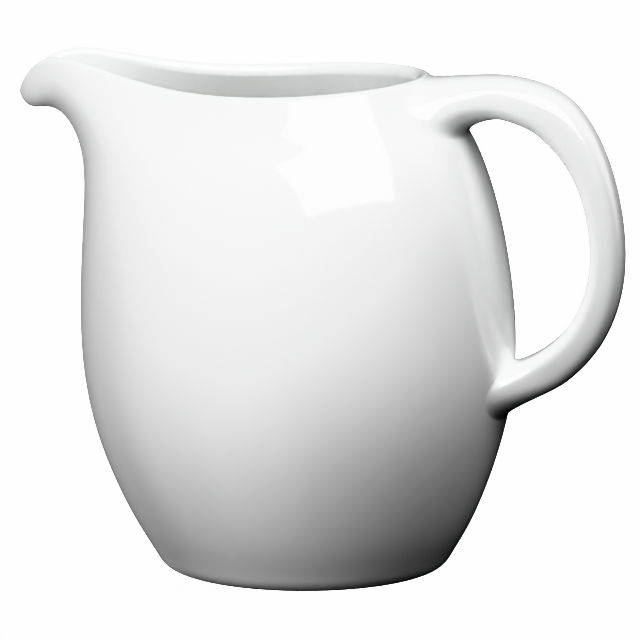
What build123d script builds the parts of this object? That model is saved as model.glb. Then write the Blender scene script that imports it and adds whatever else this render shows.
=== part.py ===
from build123d import *
import os
from math import cos, pi, sin

os.makedirs("parts", exist_ok=True)

# A one-litre porcelain pitcher. Millimetres, +Z up, origin at the centre of the foot ring on the table.
# The spout points along -X, the handle along +X, and the XZ plane is the plane of symmetry.

# Driving dimensions of the vessel
RIM_RADIUS = 2.3         # radius of the rounded rim, half the thickness of the wall
TIP_RADIUS = 1.7         # radius of the rim at the tip of the lip
FLOOR_TOP = 6.0          # height of the inside floor over the table
FLOOR_START = 0.27       # place up the wall where the inside turns into the floor
FLOOR_RADIUS = 24.0      # radius of the flat of the inside floor
FOOT_INNER = 26.0        # inner radius of the foot ring
FOOT_RECESS = 1.5        # depth of the hollow inside the foot ring
SLIP = 0.8               # thickness of the slip between a handle end and the wall

# How the lip gathers towards the front: a high power acts only close to the tip
REACH_POWER = 6.0
PINCH_POWER = 2.1
RISE_POWER = 7.7
DROOP_POWER = 36.0

# Control rings of the outer wall from the foot to the rim. Each is a round of this half length and half width,
# leant towards the spout. Its lip reaches forward, narrows, rises, and droops again at the very tip.
#    height, lean, half length, half width, reach, pinch, back rise, lip rise, tip droop
RINGS = [
    (0.0, 0.0, 30.8, 30.8, 0.0, 0.0, 0.0, 0.0, 0.0),
    (0.0, 0.0, 38.0, 38.0, 0.0, 0.0, 0.0, 0.0, 0.0),
    (4.9, 0.0, 40.2, 40.2, 0.0, 0.0, 0.0, 0.0, 0.0),
    (13.1, 0.1, 45.9, 45.9, 0.0, 0.0, 0.0, 0.0, 0.0),
    (34.3, 1.2, 55.0, 55.0, 0.0, 0.0, 0.0, 0.0, 0.0),
    (59.5, 1.4, 60.1, 59.3, 0.0, 0.0, 0.0, 0.0, 0.0),
    (94.7, 2.9, 57.0, 57.3, 0.0, 0.0, 0.0, 0.0, 0.0),
    (115.3, 4.5, 51.2, 52.0, 3.4, 0.08, 1.3, 1.1, 0.0),
    (122.3, 7.0, 48.4, 45.3, 13.6, 0.27, 1.5, 11.4, 5.0),
    (128.2, 7.8, 43.8, 42.6, 24.8, 0.35, 1.5, 13.3, 17.9),
    (131.9, 7.7, 41.9, 40.3, 28.8, 0.38, 1.8, 14.6, 17.2),
]

# Control points of the handle's centre line in the plane of symmetry, with its half thickness and half width
#    x, height, half thickness, half width
STRAP = [
    (32.8, 127.6, 5.0, 12.7),
    (47.0, 131.7, 5.3, 11.7),
    (63.0, 128.9, 6.1, 10.9),
    (70.4, 123.6, 6.4, 10.3),
    (78.9, 111.6, 4.9, 9.9),
    (83.7, 90.7, 4.3, 9.8),
    (80.7, 69.6, 5.0, 10.0),
    (68.4, 56.6, 5.1, 10.4),
    (49.6, 48.0, 5.4, 10.9),
]
STRAP_POWER = 2.3        # squareness of the strap's section: 2 is an ellipse

# Each end of the handle flares like a trumpet whose mouth lies flat inside the wall, where it is cut away:
# the mouth's place in X, height, half height and half width, and the place on the strap where the flare begins
UPPER_ROOT = (31.0, 123.5, 9.7, 20.5, 0.08)
LOWER_ROOT = (53.5, 49.6, -9.0, 14.0, 0.94)
FLARE_ANGLE = 50 * pi / 180   # angle between the trumpet's mouth and the direction of the strap

LID_CENTRE = Vector(-8, 0, 126)
LID_SHARES = (0.97, 0.92, 0.84, 0.72, 0.56, 0.4)
WALL_STEPS = 26          # rings up the outer wall
AROUND = 48              # points round each ring
STRAP_STEPS = 30         # sections along the strap
OVAL = 28                # points round each section
NUDGE = 0.001            # step used to measure the slope of the wall


def spline(points, place):
    """Point at place, 0 to 1, along a clamped cubic B-spline with these control points."""
    spans = len(points) - 3
    t = min(max(place, 0.0), 1.0) * spans
    k = min(int(t), spans - 1)
    near = list(points[k : k + 4])
    for level in range(1, 4):
        for j in range(3, level - 1, -1):
            low = max(j + k - 3, 0)
            high = min(j + k + 1 - level, spans)
            share = (t - low) / (high - low)
            near[j] = tuple(a + (b - a) * share for a, b in zip(near[j - 1], near[j]))
    return near[3]


def rib(angle):
    """Control points up the outer wall at this angle: 0 is the handle side and pi is the tip of the lip."""
    front = (1 - cos(angle)) / 2
    points = []
    for height, lean, length, width, reach, pinch, back, rise, droop in RINGS:
        x = length * cos(angle) - lean - reach * front**REACH_POWER
        y = width * sin(angle) * (1 - pinch * front**PINCH_POWER)
        z = height + back * cos(angle) + rise * front**RISE_POWER - droop * front**DROOP_POWER
        points.append((x, y, z))
    return points


def wall(angle, place):
    return Vector(*spline(rib(angle), place))


def wall_frame(angle, place):
    """A point on the outer wall with its outward normal and its upward direction."""
    inner = min(max(place, NUDGE), 1 - NUDGE)
    up = (wall(angle, inner + NUDGE) - wall(angle, inner - NUDGE)).normalized()
    along = wall(angle + NUDGE, place) - wall(angle - NUDGE, place)
    return wall(angle, place), along.cross(up).normalized(), up


def rim_radius(angle):
    front = (1 - cos(angle)) / 2
    return RIM_RADIUS - (RIM_RADIUS - TIP_RADIUS) * front**REACH_POWER


def angles():
    """Angles round a ring, closest together at the lip."""
    turns = [2 * pi * i / AROUND for i in range(AROUND)]
    return [turn + 0.55 * sin(turn) for turn in turns]


def closed_wire(points):
    """Smooth closed curve through the points, which are evenly spaced along its parameter."""
    places = [i / len(points) for i in range(len(points) + 1)]
    return Wire([Edge.make_spline(points, periodic=True, parameters=places)])


def outer_ring(place, grow=0.0):
    points = []
    for angle in angles():
        point, normal, up = wall_frame(angle, place)
        points.append(point + normal * grow)
    return closed_wire(points)


def rim_ring(turn, grow=0.0):
    """Ring on the rounded rim: a turn of 0 is its outside edge and pi is its inside edge."""
    points = []
    for angle in angles():
        point, normal, up = wall_frame(angle, 1.0)
        radius = rim_radius(angle)
        out = normal * cos(turn) + up * sin(turn)
        points.append(point - normal * radius + out * (radius + grow))
    return closed_wire(points)


def inner_point(angle, place):
    point, normal, up = wall_frame(angle, place)
    return point - normal * 2 * rim_radius(angle)


def inner_ring(place):
    return closed_wire([inner_point(angle, place) for angle in angles()])


def floor_ring(share):
    """Ring on the curve from the inside wall, at a share of 0, to the flat of the floor, at 1."""
    points = []
    for angle in angles():
        start = inner_point(angle, FLOOR_START)
        down = (inner_point(angle, FLOOR_START - 0.01) - start).normalized()
        out = Vector(cos(angle), sin(angle), 0)
        end = out * FLOOR_RADIUS + Vector(0, 0, FLOOR_TOP)
        curve = [start, start + down * 7, end + out * 7, end]
        points.append(Vector(*spline([tuple(p) for p in curve], share)))
    return closed_wire(points)


def wall_places():
    """Places up the wall, closer together towards the foot and the rim."""
    return [(1 - cos(pi * i / WALL_STEPS)) / 2 for i in range(WALL_STEPS + 1)]


def sewn_solid(*runs):
    """Solid with one smooth face through each run of rings, closed flat at the first and the last ring."""
    faces = []
    for run in runs:
        faces += Shell.make_loft(run).faces()
    faces += [Face(runs[0][0]), Face(runs[-1][-1])]
    return Solid(Shell(Face.sew_faces(faces)[0]))


def make_body():
    outside = [outer_ring(place) for place in wall_places()]
    rim = [rim_ring(pi * i / 6) for i in range(7)]
    inside = [inner_ring(place) for place in reversed(wall_places()) if place > FLOOR_START + 0.01]
    inside += [floor_ring(i / 5) for i in range(6)]
    rim[0] = outside[-1]
    rim[-1] = inside[0]
    body = sewn_solid(outside, rim, inside)
    recess = Pos(0, 0, FOOT_RECESS / 2) * Cylinder(FOOT_INNER, FOOT_RECESS)
    return body - recess


def lid_ring(share, grow):
    """Ring of the lid that closes the plug, shrunk from the crest of the rim to this share of its size."""
    points = []
    for angle in angles():
        point, normal, up = wall_frame(angle, 1.0)
        crest = point - normal * rim_radius(angle) + up * (rim_radius(angle) + grow)
        level = Vector(LID_CENTRE.X, LID_CENTRE.Y, crest.Z)
        drop = (crest.Z - LID_CENTRE.Z) * (1 - share) / (1 - LID_SHARES[-1])
        points.append(level + (crest - level) * share - Vector(0, 0, drop))
    return closed_wire(points)


def make_plug(grow):
    """The vessel without its hollow, grown outwards: what a handle end is cut against."""
    outside = [outer_ring(place, grow) for place in wall_places()]
    rim = [rim_ring(pi * i / 6, grow) for i in range(4)]
    rim[0] = outside[-1]
    lid = [rim[-1]] + [lid_ring(share, grow) for share in LID_SHARES]
    return sewn_solid(outside, rim, lid)


def strap_frame(place):
    """Centre of the strap at this place with its direction, its outward side, and its half sizes."""
    x, z, thick, wide = spline(STRAP, place)
    x1, z1, _, _ = spline(STRAP, place - 0.01)
    x2, z2, _, _ = spline(STRAP, place + 0.01)
    ahead = Vector(x2 - x1, 0, z2 - z1).normalized()
    side = Vector(-ahead.Z, 0, ahead.X)
    return Vector(x, 0, z), ahead, side, thick, wide


def strap_point(place, turn):
    """Point on the strap's skin: a turn of 0 is its outer face and pi is its face towards the fingers."""
    centre, ahead, side, thick, wide = strap_frame(place)
    power = 2 / STRAP_POWER
    across = abs(cos(turn)) ** power * (1 if cos(turn) > 0 else -1)
    level = abs(sin(turn)) ** power * (1 if sin(turn) > 0 else -1)
    return centre + side * thick * across + Vector(0, wide * level, 0)


def turns():
    return [2 * pi * i / OVAL for i in range(OVAL)]


def strap_ring(place):
    return closed_wire([strap_point(place, turn) for turn in turns()])


def flare_point(root, turn, share):
    """Point on the flare from the strap, at a share of 0, to the trumpet's mouth, at 1."""
    x, height, half_height, half_width, begin = root
    start = strap_point(begin, turn)
    ahead = strap_frame(begin)[1] * (-1 if begin < 0.5 else 1)
    out = Vector(0, half_width * sin(turn), half_height * cos(turn))
    end = Vector(x, 0, height) + out
    reach = (end - start).length
    leave = ahead * reach
    arrive = (out.normalized() * sin(FLARE_ANGLE) - Vector(cos(FLARE_ANGLE), 0, 0)) * reach
    t = share
    return (
        start * (2 * t**3 - 3 * t**2 + 1)
        + leave * (t**3 - 2 * t**2 + t)
        + end * (3 * t**2 - 2 * t**3)
        + arrive * (t**3 - t**2)
    )


def flare_rings(root):
    return [closed_wire([flare_point(root, turn, i / 8) for turn in turns()]) for i in range(8, 0, -1)]


def make_raw_handle():
    """The strap with its flared ends, before they are cut to fit the wall."""
    first, last = UPPER_ROOT[4], LOWER_ROOT[4]
    rings = flare_rings(UPPER_ROOT)
    rings += [strap_ring(first + (last - first) * i / STRAP_STEPS) for i in range(STRAP_STEPS + 1)]
    rings += reversed(flare_rings(LOWER_ROOT))
    return Solid.make_loft(rings)


def make_slip(raw, plug, thick_plug):
    """The lower and the upper pad of slip, in that order."""
    pads = ((raw & thick_plug) - plug).solids()
    thin = sorted(pads, key=lambda pad: pad.volume)[:2]
    return sorted(thin, key=lambda pad: pad.center().Z)


def main():
    raw = make_raw_handle()
    plug = make_plug(0.0)
    thick_plug = make_plug(SLIP)
    lower, upper = make_slip(raw, plug, thick_plug)
    export_step(make_body(), "parts/body.step")
    export_step(raw - thick_plug, "parts/handle.step")
    export_step(upper, "parts/upper_slip_joint.step")
    export_step(lower, "parts/lower_slip_joint.step")


main()
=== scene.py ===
from collections import namedtuple

import bpy
import numpy as np
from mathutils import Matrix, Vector


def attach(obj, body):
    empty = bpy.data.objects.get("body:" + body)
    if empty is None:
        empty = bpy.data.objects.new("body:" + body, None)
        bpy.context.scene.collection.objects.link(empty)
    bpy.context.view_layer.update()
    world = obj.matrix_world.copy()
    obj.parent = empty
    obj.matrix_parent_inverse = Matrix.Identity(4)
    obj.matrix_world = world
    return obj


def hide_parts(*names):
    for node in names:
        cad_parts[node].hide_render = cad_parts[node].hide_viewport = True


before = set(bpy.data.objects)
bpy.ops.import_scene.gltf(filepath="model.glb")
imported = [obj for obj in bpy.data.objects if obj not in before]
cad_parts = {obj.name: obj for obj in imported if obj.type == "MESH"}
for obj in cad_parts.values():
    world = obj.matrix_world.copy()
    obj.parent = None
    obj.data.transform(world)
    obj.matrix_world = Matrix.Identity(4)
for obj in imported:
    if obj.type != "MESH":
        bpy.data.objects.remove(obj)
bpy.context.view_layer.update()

MM = 0.001
PI = np.pi

# ---------------------------------------------------------------- dimensions of the vessel, in millimetres

RIM_RADIUS = 2.3
TIP_RADIUS = 1.7

# The flat inside floor, the place on the wall where the inside starts to curve down to it, and that curve's
# pull
FLOOR_TOP = 6.0
FLOOR_RADIUS = 24.0
FLOOR_START = 0.27
FLOOR_CURVE = 7.0

# Underside: a flat recess, its rounded corner, the rounded inner edge of the foot, and the flat it stands on
RECESS_HEIGHT = 1.5
RECESS_RADII = (3, 12, 20, 24.2)
RECESS_CORNER = 24.6
RECESS_ROUND = 0.9
RECESS_DROP = 0.81
FOOT_EDGE = 26.2
FOOT_ROUND = 0.6
FOOT_FLAT = (27.2, 28.4, 29.6)
BARE_HEIGHT = 0.15          # the foot is unglazed below this height

# How the lip gathers towards the front: a high power acts only close to the tip. These four, RINGS and the
# camera are rounded results of a least-squares fit. So is STRAP, but its last five rows were then changed.
REACH_POWER = 6.0
PINCH_POWER = 2.1
RISE_POWER = 7.7
DROOP_POWER = 36.0

# height, lean, half length, half width, reach, pinch, back rise, lip rise, tip droop
RINGS = np.array([
    (0.0, 0.0, 30.8, 30.8, 0.0, 0.0, 0.0, 0.0, 0.0),
    (0.0, 0.0, 38.0, 38.0, 0.0, 0.0, 0.0, 0.0, 0.0),
    (4.9, 0.0, 40.2, 40.2, 0.0, 0.0, 0.0, 0.0, 0.0),
    (13.1, 0.1, 45.9, 45.9, 0.0, 0.0, 0.0, 0.0, 0.0),
    (34.3, 1.2, 55.0, 55.0, 0.0, 0.0, 0.0, 0.0, 0.0),
    (59.5, 1.4, 60.1, 59.3, 0.0, 0.0, 0.0, 0.0, 0.0),
    (94.7, 2.9, 57.0, 57.3, 0.0, 0.0, 0.0, 0.0, 0.0),
    (115.3, 4.5, 51.2, 52.0, 3.4, 0.08, 1.3, 1.1, 0.0),
    (122.3, 7.0, 48.4, 45.3, 13.6, 0.27, 1.5, 11.4, 5.0),
    (128.2, 7.8, 43.8, 42.6, 24.8, 0.35, 1.5, 13.3, 17.9),
    (131.9, 7.7, 41.9, 40.3, 28.8, 0.38, 1.8, 14.6, 17.2),
])

# ---------------------------------------------------------------- dimensions of the handle, in millimetres

# Control points of the strap: x, height, half thickness and half width, within 1 mm of those in the CAD
# model
STRAP = np.array([
    (32.8, 127.6, 5.0, 12.7),
    (47.0, 131.7, 5.3, 11.7),
    (63.0, 128.9, 6.1, 10.9),
    (70.4, 123.6, 6.4, 10.3),
    (78.9, 111.6, 4.7, 9.7),
    (83.8, 90.7, 4.3, 9.6),
    (81.1, 69.4, 4.9, 10.1),
    (69.1, 55.9, 5.6, 10.7),
    (49.8, 47.3, 6.0, 11.2),
])
# Section of the strap at its top and its bottom: squareness, where 2 is an ellipse, and narrowing outwards
STRAP_POWER = (2.6, 3.4)
STRAP_TAPER = (0.0, 0.16)

# How an end of the handle spreads over the wall, from the place on the strap where its flare begins. The
# footprint has a middle up the wall, offsets from it to the edges on the handle's outer side and its finger
# side, and a half angle round the wall. The last four say how firmly the flare leaves the strap, and how firmly
# it runs out on the wall on its outer side, its flanks and its finger side.
Root = namedtuple("Root", "begin middle outer finger spread leave run_outer run_flank run_finger")
UPPER_ROOT = Root(0.12, 0.915, 0.105, -0.12, 0.60, 0.9, 0.3, 1.1, 1.15)
LOWER_ROOT = Root(0.925, 0.456, -0.041, 0.033, 0.37, 0.95, 0.6, 0.8, 0.4)

SLIP_SHARE = 0.80           # share of a flare where the handle ends and the slip begins
SLIP_DEPTH = 1.0            # how far the slip reaches into the wall
SINK = 0.03                 # how far the edge of the slip lies under the skin of the wall
OVER_RIM = 45.0             # turn over the rounded rim, in radians, for each unit of place past 1

# ---------------------------------------------------------------- fineness of the meshes

AROUND = 288                # points round the vessel
CROWDING = 0.55             # how far they crowd towards the lip
OVAL = 96                   # points round the strap
LOW_PLACE = 0.25            # below this place the wall's rings draw together towards the foot
LOW_RINGS = 60
WALL_RINGS = 150
RIM_RINGS = 25
INSIDE_RINGS = 130
CORNER_RINGS = 5
FLOOR_RINGS = 25
STRAP_RINGS = 170
FLARE_RINGS = 40
PAD_RINGS = 16
STEP = 1e-4                 # small step along a surface, to find its slope
STRIDE = 0.01               # longer step, to find which way the strap or the inner wall runs


# ---------------------------------------------------------------- shape of the vessel

def basis(count, places):
    """Weights of a clamped cubic B-spline with this many control points."""
    knots = np.clip(np.arange(count + 4) - 3, 0, count - 3).astype(float)
    spans = np.clip(np.atleast_1d(places), 0, 1 - 1e-12)[:, None] * (count - 3)
    weights = ((spans >= knots[:-1]) & (spans < knots[1:])).astype(float)
    for degree in range(1, 4):
        rows = count + 3 - degree
        low = knots[:rows]
        high = knots[degree + 1 : degree + 1 + rows]
        left = knots[degree : degree + rows] - low
        right = high - knots[1 : 1 + rows]
        blank = np.zeros((len(spans), rows))
        rise = np.divide(spans - low, left, out=blank.copy(), where=left > 0)
        fall = np.divide(high - spans, right, out=blank.copy(), where=right > 0)
        weights = rise * weights[:, :rows] + fall * weights[:, 1 : rows + 1]
    return weights


def front_share(angle):
    """0 on the handle's side of the vessel and 1 at the tip of the lip."""
    return (1 - np.cos(angle)) / 2


def wall(angle, place):
    """Points on the outer wall; a place of 0 is at the foot and 1 at the rim."""
    angle, place = np.broadcast_arrays(np.atleast_1d(angle), np.atleast_1d(place))
    height, lean, length, width, reach, pinch, back, rise, droop = RINGS.T[:, None]
    across = np.cos(angle)[:, None]
    front = front_share(angle)[:, None]
    x = length * across - lean - reach * front**REACH_POWER
    y = width * np.sin(angle)[:, None] * (1 - pinch * front**PINCH_POWER)
    z = height + back * across + rise * front**RISE_POWER - droop * front**DROOP_POWER
    weights = basis(len(RINGS), place)
    return np.stack([(weights * value).sum(1) for value in (x, y, z)], 1)


def unit(vectors):
    return vectors / np.linalg.norm(vectors, axis=-1, keepdims=True)


def wall_frame(angle, place):
    """Points on the outer wall with their outward normals and upward directions."""
    angle, place = np.broadcast_arrays(np.atleast_1d(angle), np.atleast_1d(place))
    within = np.clip(place, STEP, 1 - STEP)
    up = unit(wall(angle, within + STEP) - wall(angle, within - STEP))
    along = wall(angle + STEP, place) - wall(angle - STEP, place)
    return wall(angle, place), unit(np.cross(along, up)), up


def rim_radius(angle):
    return RIM_RADIUS - (RIM_RADIUS - TIP_RADIUS) * front_share(angle) ** REACH_POWER


def inside(angle, place):
    """Points on the inner wall, one thickness of the rim inside the outer wall."""
    point, normal, up = wall_frame(angle, place)
    return point - normal * 2 * rim_radius(angle)[:, None]


def rim(angle, turn):
    """Points on the rounded rim: a turn of 0 is its outside edge and pi is its inside edge."""
    point, normal, up = wall_frame(angle, 1.0)
    radius = rim_radius(angle)[:, None]
    return point - normal * radius + (normal * np.cos(turn) + up * np.sin(turn)) * radius


def round_angles():
    """Angles round the vessel, closest together at the lip."""
    turn = 2 * PI * np.arange(AROUND) / AROUND
    return turn + CROWDING * np.sin(turn)


def circle(radius, height):
    turn = round_angles()
    return np.stack([radius * np.cos(turn), radius * np.sin(turn), np.full(AROUND, float(height))], 1)


def foot_rings():
    """Rings from the middle of the underside to the outside edge of the foot."""
    corner = np.linspace(0, PI / 2, CORNER_RINGS)
    rings = [circle(radius, RECESS_HEIGHT) for radius in RECESS_RADII]
    for turn in corner:
        radius = RECESS_CORNER + RECESS_ROUND * np.sin(turn)
        rings.append(circle(radius, RECESS_HEIGHT - RECESS_DROP * (1 - np.cos(turn))))
    for turn in corner[1:]:
        rings.append(circle(FOOT_EDGE - FOOT_ROUND * np.cos(turn), FOOT_ROUND - FOOT_ROUND * np.sin(turn)))
    return rings + [circle(radius, 0) for radius in FOOT_FLAT]


def floor_rings(angle):
    """Rings from the inner wall, down a curve, to the middle of the inside floor."""
    start = inside(angle, FLOOR_START)
    down = unit(inside(angle, FLOOR_START - STRIDE) - start)
    out = np.stack([np.cos(angle), np.sin(angle), 0 * angle], 1)
    end = out * FLOOR_RADIUS + np.array([0, 0, FLOOR_TOP])
    curve = [start, start + down * FLOOR_CURVE, end + out * FLOOR_CURVE, end]
    rings = []
    for share in np.linspace(0, 1, FLOOR_RINGS)[1:]:
        rings.append(sum(weight * points for weight, points in zip(basis(4, share)[0], curve)))
    return rings + [circle(radius, FLOOR_TOP) for radius in (20, 14, 8, 3)]


def body_rings():
    """Rings of points from the middle of the underside, over the rim, to the middle of the inside floor."""
    angle = round_angles()
    rings = foot_rings()
    rings += [wall(angle, place * LOW_PLACE) for place in 1 - np.cos(np.linspace(0, PI / 2, LOW_RINGS))]
    rings += [wall(angle, place) for place in np.linspace(LOW_PLACE, 1, WALL_RINGS)[1:]]
    rings += [rim(angle, turn) for turn in np.linspace(0, PI, RIM_RINGS)[1:-1]]
    rings += [inside(angle, place) for place in np.linspace(1, FLOOR_START, INSIDE_RINGS)]
    return rings + floor_rings(angle)


def bare_bands(rings):
    """Numbers of the bands between rings that make the unglazed foot."""
    heights = [ring[0][2] for ring in rings]
    return [band for band in range(len(rings) - 1) if max(heights[band : band + 2]) < BARE_HEIGHT]


# ---------------------------------------------------------------- shape of the handle and the slip

def strap_frame(place):
    """Centre of the strap at this place with its direction, its outward side, and its half sizes."""
    x, z, thick, wide = (basis(len(STRAP), place) @ STRAP)[0]
    x1, z1 = (basis(len(STRAP), place - STRIDE) @ STRAP)[0][:2]
    x2, z2 = (basis(len(STRAP), place + STRIDE) @ STRAP)[0][:2]
    ahead = unit(np.array([x2 - x1, 0, z2 - z1]))
    side = np.array([-ahead[2], 0, ahead[0]])
    return np.array([x, 0, z]), ahead, side, thick, wide


def oval_turns():
    """Turns round the strap: 0 is on its outer side and pi is on its finger side."""
    return 2 * PI * np.arange(OVAL) / OVAL


def squared(wave, power):
    return np.abs(wave) ** (2 / power) * np.sign(wave)


def strap_ring(place):
    centre, ahead, side, thick, wide = strap_frame(place)
    power = np.interp(place, (0, 1), STRAP_POWER)
    taper = np.interp(place, (0, 1), STRAP_TAPER)
    across = squared(np.cos(oval_turns()), power)
    level = squared(np.sin(oval_turns()), power) * (1 - taper * (1 + across))
    return centre + side * thick * across[:, None] + np.array([0, 1.0, 0]) * wide * level[:, None]


def skin(angle, place):
    """Points and normals on the wall, running on over the rim past a place of 1."""
    point, normal, up = wall_frame(angle, np.minimum(place, 1.0))
    over = np.clip((place - 1) * OVER_RIM, 0, None)[:, None]
    radius = rim_radius(angle)[:, None]
    turned = normal * np.cos(over) + up * np.sin(over)
    return point - normal * radius + turned * radius, turned


def footprint(root, scale=1.0):
    """Points and normals of the ring where a flare lies on the wall."""
    wave = np.cos(oval_turns())
    extent = np.where(wave > 0, root.outer, -root.finger)
    return skin(root.spread * scale * np.sin(oval_turns()), root.middle + extent * scale * wave)


def flare_ring(root, share):
    """Ring on the flare from the strap, at a share of 0, to where it lies smoothly on the wall, at 1."""
    start = strap_ring(root.begin)
    ahead = strap_frame(root.begin)[1] * (-1 if root is UPPER_ROOT else 1)
    end, normal = footprint(root)
    out = end - wall(0.0, root.middle)
    out = unit(out - normal * (out * normal).sum(1, keepdims=True))
    end = end - normal * SINK
    reach = np.linalg.norm(end - start, axis=1, keepdims=True)
    wave = np.cos(oval_turns())
    sides = np.where(wave > 0, root.run_outer, root.run_finger)
    firm = (root.run_flank + (sides - root.run_flank) * wave**2)[:, None]
    leave = ahead * reach * root.leave
    arrive = out * reach * firm
    ring = start * (2 * share**3 - 3 * share**2 + 1) + leave * (share**3 - 2 * share**2 + share)
    return ring + end * (3 * share**2 - 2 * share**3) + arrive * (share**3 - share**2)


def flare_rings(root, shares):
    return [flare_ring(root, share) for share in shares]


def surface_normals(rings):
    """Unit normals of a run of rings, from the neighbours of each point, facing out."""
    grid = np.stack(rings)
    ahead = np.gradient(grid, axis=0)
    around = np.roll(grid, -1, axis=1) - np.roll(grid, 1, axis=1)
    return unit(np.cross(ahead, around))


def handle_runs():
    """Rings and normals of the upper slip, the handle and the lower slip, which share one smooth skin."""
    pad = np.linspace(1, SLIP_SHARE, PAD_RINGS)
    flare = np.linspace(SLIP_SHARE, 0, FLARE_RINGS)[1:-1]
    strap = [strap_ring(place) for place in np.linspace(UPPER_ROOT.begin, LOWER_ROOT.begin, STRAP_RINGS)]
    rings = flare_rings(UPPER_ROOT, pad) + flare_rings(UPPER_ROOT, flare) + strap
    rings += flare_rings(LOWER_ROOT, flare[::-1]) + flare_rings(LOWER_ROOT, pad[::-1])
    normals = surface_normals(rings)
    normals[0] = footprint(UPPER_ROOT)[1]
    normals[-1] = footprint(LOWER_ROOT)[1]
    last = len(rings) - PAD_RINGS
    upper = (rings[:PAD_RINGS], normals[:PAD_RINGS])
    middle = (rings[PAD_RINGS - 1 : last + 1], normals[PAD_RINGS - 1 : last + 1])
    lower = (rings[last:][::-1], normals[last:][::-1])
    return upper, middle, lower


# ---------------------------------------------------------------- meshes

def grid_mesh(name, rings, materials, normals=None, flip=False, second=()):
    """Closed smooth mesh through rings of points, in metres; bands in second take the second material."""
    grid = np.stack(rings) * MM
    if flip:
        grid = grid[:, ::-1]
        normals = None if normals is None else normals[:, ::-1]
    count, size = grid.shape[:2]
    here = np.arange(size)
    beside = (here + 1) % size
    faces = []
    slots = []
    for band in range(count - 1):
        low = band * size
        high = low + size
        faces += np.stack([low + here, low + beside, high + beside, high + here], 1).tolist()
        slots += [int(band in second)] * size
    first_end = np.full(size, count * size)
    top = (count - 1) * size
    faces += np.stack([first_end, beside, here], 1).tolist()
    faces += np.stack([first_end + 1, top + here, top + beside], 1).tolist()
    slots += [0] * 2 * size
    points = np.concatenate([grid.reshape(-1, 3), grid[:1].mean(1), grid[-1:].mean(1)])
    mesh = bpy.data.meshes.new(name)
    mesh.from_pydata(points.tolist(), [], faces)
    for material in materials:
        mesh.materials.append(material)
    mesh.polygons.foreach_set("use_smooth", [True] * len(faces))
    mesh.polygons.foreach_set("material_index", slots)
    mesh.update()
    if normals is not None:
        every = np.concatenate([normals.reshape(-1, 3), np.zeros((2, 3))])
        mesh.normals_split_custom_set_from_vertices(every.tolist())
    return linked(name, mesh)


def linked(name, data):
    """New object in the scene that holds a mesh, a light or a camera."""
    obj = bpy.data.objects.new(name, data)
    bpy.context.scene.collection.objects.link(obj)
    return obj


def shrunk(ring, share, shift=0.0):
    middle = ring.mean(0)
    return middle + (ring - middle) * share + shift


def with_blanks(normals, before, after):
    """Normals with rows of zeros round them, for the hidden rings whose normals Blender works out."""
    return np.pad(normals, ((before, after), (0, 0), (0, 0)))


def handle_mesh(name, run, material):
    """The handle, closed at each end by a face that bulges a little into the slip."""
    rings, normals = run
    shares = (0.2, 0.6, 0.9)
    shift = np.array([-0.5, 0, 0])
    first = [shrunk(rings[0], share, shift) for share in shares]
    last = [shrunk(rings[-1], share, shift) for share in reversed(shares)]
    normals = with_blanks(normals, len(shares), len(shares))
    return grid_mesh(name, first + rings + last, [material], normals, flip=True)


def slip_mesh(name, root, run, material, flip):
    """A pad of slip, from inside the wall, out along the skin, to its face against the handle."""
    rings, normals = run
    behind = []
    for scale in (0.05, 0.3, 0.6, 0.85, 1.0):
        point, normal = footprint(root, scale)
        behind.append(point - normal * SLIP_DEPTH)
    front = [shrunk(rings[-1], share) for share in (0.7, 0.3)]
    normals = with_blanks(normals, len(behind), len(front))
    return grid_mesh(name, behind + rings + front, [material], normals, flip)


# ---------------------------------------------------------------- materials

# sockets of a Mix node that mixes colours
MIX_FACTOR, MIX_A, MIX_B, MIX_RESULT = 0, 6, 7, 2


def new_material(name):
    material = bpy.data.materials.new(name)
    material.use_nodes = True
    tree = material.node_tree
    return material, tree, tree.nodes["Principled BSDF"]


def add(tree, kind, **values):
    """New node, with values for its sockets or its settings."""
    node = tree.nodes.new(kind)
    for key, value in values.items():
        if key in node.inputs:
            node.inputs[key].default_value = value
        else:
            setattr(node, key, value)
    return node


def noise(tree, coords, scale, detail=2.0, rough=0.5):
    node = add(tree, "ShaderNodeTexNoise", Scale=scale, Detail=detail, Roughness=rough)
    tree.links.new(coords.outputs["Object"], node.inputs["Vector"])
    return node.outputs["Fac"]


def set_colour(tree, shader, factor, low, high):
    node = add(tree, "ShaderNodeMix", data_type="RGBA")
    node.inputs[MIX_A].default_value = (*low, 1)
    node.inputs[MIX_B].default_value = (*high, 1)
    tree.links.new(factor, node.inputs[MIX_FACTOR])
    tree.links.new(node.outputs[MIX_RESULT], shader.inputs["Base Color"])


def set_roughness(tree, shader, factor, low, high):
    node = tree.nodes.new("ShaderNodeMapRange")
    node.inputs["To Min"].default_value = low
    node.inputs["To Max"].default_value = high
    tree.links.new(factor, node.inputs["Value"])
    tree.links.new(node.outputs["Result"], shader.inputs["Roughness"])


def set_bump(tree, shader, height, strength, distance):
    node = add(tree, "ShaderNodeBump", Strength=strength, Distance=distance)
    tree.links.new(height, node.inputs["Height"])
    tree.links.new(node.outputs["Normal"], shader.inputs["Normal"])


def glaze(name):
    """White porcelain under a clear gloss glaze, a little uneven in tone, gloss and level."""
    material, tree, shader = new_material(name)
    coords = tree.nodes.new("ShaderNodeTexCoord")
    cloud = noise(tree, coords, scale=18, detail=3)
    smear = noise(tree, coords, scale=60, detail=4, rough=0.6)
    ripple = noise(tree, coords, scale=35, detail=1)
    set_colour(tree, shader, cloud, (0.86, 0.87, 0.865), (0.90, 0.905, 0.90))
    set_roughness(tree, shader, smear, 0.05, 0.11)
    set_bump(tree, shader, ripple, strength=0.12, distance=0.0006)
    shader.inputs["IOR"].default_value = 1.5
    return material


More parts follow.
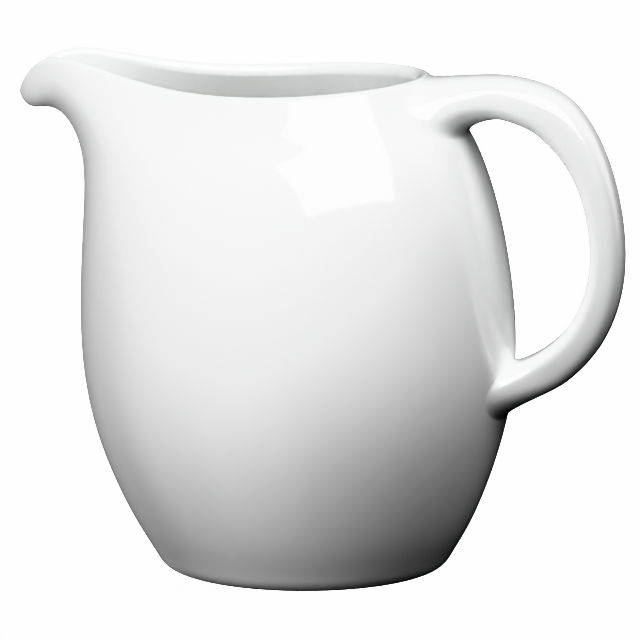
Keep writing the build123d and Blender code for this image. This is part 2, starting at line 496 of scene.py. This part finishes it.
def biscuit():
    """Bare fired clay of the foot: matt, fine grained and slightly warmer."""
    material, tree, shader = new_material("biscuit_foot")
    coords = tree.nodes.new("ShaderNodeTexCoord")
    grain = noise(tree, coords, scale=900, detail=3, rough=0.7)
    set_colour(tree, shader, grain, (0.66, 0.62, 0.56), (0.78, 0.75, 0.70))
    set_roughness(tree, shader, grain, 0.65, 0.9)
    set_bump(tree, shader, grain, strength=0.5, distance=0.0001)
    return material


# ---------------------------------------------------------------- pieces

body_glaze = glaze("glaze_body")
handle_glaze = glaze("glaze_handle")
slip_glaze = glaze("glaze_slip")

rings = body_rings()
body = grid_mesh("pitcher_body", rings, [body_glaze, biscuit()], second=bare_bands(rings))
upper, middle, lower = handle_runs()
handle = handle_mesh("pitcher_handle", middle, handle_glaze)
upper_slip = slip_mesh("pitcher_upper_slip", UPPER_ROOT, upper, slip_glaze, flip=True)
lower_slip = slip_mesh("pitcher_lower_slip", LOWER_ROOT, lower, slip_glaze, flip=False)

for piece, node, slot in (
    (body, "body", "glaze_body"),
    (handle, "handle", "glaze_handle"),
    (upper_slip, "upper_slip_joint", "glaze_slip"),
    (lower_slip, "lower_slip_joint", "glaze_slip"),
):
    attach(piece, "root")
    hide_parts(node)

# ---------------------------------------------------------------- camera

AIM = np.array([0.0042, 0.0, 0.0679])
VIEW_AZIMUTH = 10.91
VIEW_ELEVATION = 9.96
VIEW_DISTANCE = 1.852


def direction(azimuth, elevation):
    """Unit vector towards a place in the studio; azimuth 0 is straight in front and +90 is on the right."""
    a, e = np.radians((azimuth, elevation))
    return np.array([np.cos(e) * np.sin(a), -np.cos(e) * np.cos(a), np.sin(e)])


def aimed(obj, azimuth, elevation, distance):
    """Puts a light or a camera at a distance in a direction from the object, looking at it."""
    place = Vector(AIM + distance * direction(azimuth, elevation))
    obj.location = place
    obj.rotation_euler = (Vector(AIM) - place).to_track_quat("-Z", "Y").to_euler()


camera = linked("camera", bpy.data.cameras.new("camera"))
camera.data.lens = 385.9
camera.data.sensor_width = 36
camera.data.clip_end = 20
aimed(camera, VIEW_AZIMUTH, VIEW_ELEVATION, VIEW_DISTANCE)
bpy.context.scene.camera = camera

# ---------------------------------------------------------------- light

# azimuth, elevation, half angle that is fully lit, half angle where the light ends, radiance. A separate
# program chose these patches and their first radiances from a wider set, as it did for the window and the top,
# low and front fills. Nine of those fifteen radiances were then changed.
LOBES = (
    (-120, 22, 3, 34, 0.23),
    (-140, -8, 3, 34, 0.26),
    (-20, -38, 3, 34, 0.46),
    (-60, -38, 3, 34, 0.24),
    (60, -8, 3, 34, 0.12),
    (115, 50, 3, 34, 0.80),
    (135, 22, 3, 34, 0.90),
    (170, 50, 3, 34, 0.35),
    (-90, -25, 2, 20, 0.12),
    (90, 70, 2, 20, 2.20),
    (150, 70, 2, 20, 0.20),
)
BACKGROUND = 2.4            # brightness of the plain white that the camera sees behind and below
WINDOW = (46, 50)           # azimuth and elevation of the window
FLOOR_HALF = 3              # half the side of the floor, in metres


def softbox(name, azimuth, elevation, distance, width, height, radiance):
    light = bpy.data.lights.new(name, "AREA")
    light.shape = "RECTANGLE"
    light.size = width
    light.size_y = height
    light.energy = radiance * PI * width * height
    obj = linked(name, light)
    aimed(obj, azimuth, elevation, distance)
    obj.visible_camera = False
    return obj


def lobe_strength(tree, coords, lobe):
    """Radiance of one soft patch of light in the surroundings."""
    azimuth, elevation, narrow, wide, radiance = lobe
    dot = add(tree, "ShaderNodeVectorMath", operation="DOT_PRODUCT")
    tree.links.new(coords.outputs["Generated"], dot.inputs[0])
    dot.inputs[1].default_value = direction(azimuth, elevation)
    patch = add(tree, "ShaderNodeMapRange", interpolation_type="SMOOTHSTEP")
    patch.inputs["From Min"].default_value = np.cos(np.radians(wide))
    patch.inputs["From Max"].default_value = np.cos(np.radians(narrow))
    patch.inputs["To Max"].default_value = radiance
    tree.links.new(dot.outputs["Value"], patch.inputs["Value"])
    return patch.outputs["Result"]


def studio():
    """Surroundings lit by broad soft patches; the camera itself sees them as plain white."""
    world = bpy.data.worlds.new("studio")
    bpy.context.scene.world = world
    world.use_nodes = True
    tree = world.node_tree
    coords = tree.nodes.new("ShaderNodeTexCoord")
    total = lobe_strength(tree, coords, LOBES[0])
    for lobe in LOBES[1:]:
        both = add(tree, "ShaderNodeMath", operation="ADD")
        tree.links.new(lobe_strength(tree, coords, lobe), both.inputs[0])
        tree.links.new(total, both.inputs[1])
        total = both.outputs[0]
    around = tree.nodes["Background"]
    around.inputs["Color"].default_value = (1, 1, 1, 1)
    tree.links.new(total, around.inputs["Strength"])
    path = tree.nodes.new("ShaderNodeLightPath")
    white = add(tree, "ShaderNodeBackground", Color=(1, 1, 1, 1), Strength=BACKGROUND)
    mix = tree.nodes.new("ShaderNodeMixShader")
    tree.links.new(path.outputs["Is Camera Ray"], mix.inputs[0])
    tree.links.new(around.outputs[0], mix.inputs[1])
    tree.links.new(white.outputs[0], mix.inputs[2])
    tree.links.new(mix.outputs[0], tree.nodes["World Output"].inputs[0])


def stage_floor():
    """Pale floor that glows as white as the background and throws nothing back on the object."""
    mesh = bpy.data.meshes.new("floor")
    corners = [(FLOOR_HALF * x, FLOOR_HALF * y, 0) for x, y in ((-1, -1), (1, -1), (1, 1), (-1, 1))]
    mesh.from_pydata(corners, [], [(0, 1, 2, 3)])
    material, tree, shader = new_material("floor_white")
    shader.inputs["Base Color"].default_value = (0.9, 0.9, 0.9, 1)
    shader.inputs["Emission Color"].default_value = (1, 1, 1, 1)
    shader.inputs["Emission Strength"].default_value = BACKGROUND
    mesh.materials.append(material)
    obj = linked("floor", mesh)
    obj.visible_diffuse = False
    obj.visible_glossy = False
    obj.visible_shadow = False
    return obj


studio()
# azimuth, elevation, distance, width, height, radiance
softbox("window", *WINDOW, 1.2, 1.25, 1.07, 1.4)
for fill in (
    softbox("top_fill", 60, 70, 0.6, 0.5, 0.5, 0.34),
    softbox("low_fill", -60, -20, 0.4, 0.3, 0.3, 0.36),
    softbox("front_fill", -20, 30, 0.45, 0.3, 0.3, 3.4),
    softbox("back_fill", -170, 5, 1.2, 1.0, 1.0, 1.8),
):
    fill.visible_glossy = False
# just in front of the window, seen only in the gloss of the glaze
shine = softbox("window_shine", *WINDOW, 1.15, 1.2, 1.03, 18.0)
shine.visible_diffuse = False

floor = stage_floor()

view = bpy.context.scene.view_settings
view.view_transform = "Khronos PBR Neutral"
view.look = "Very High Contrast"
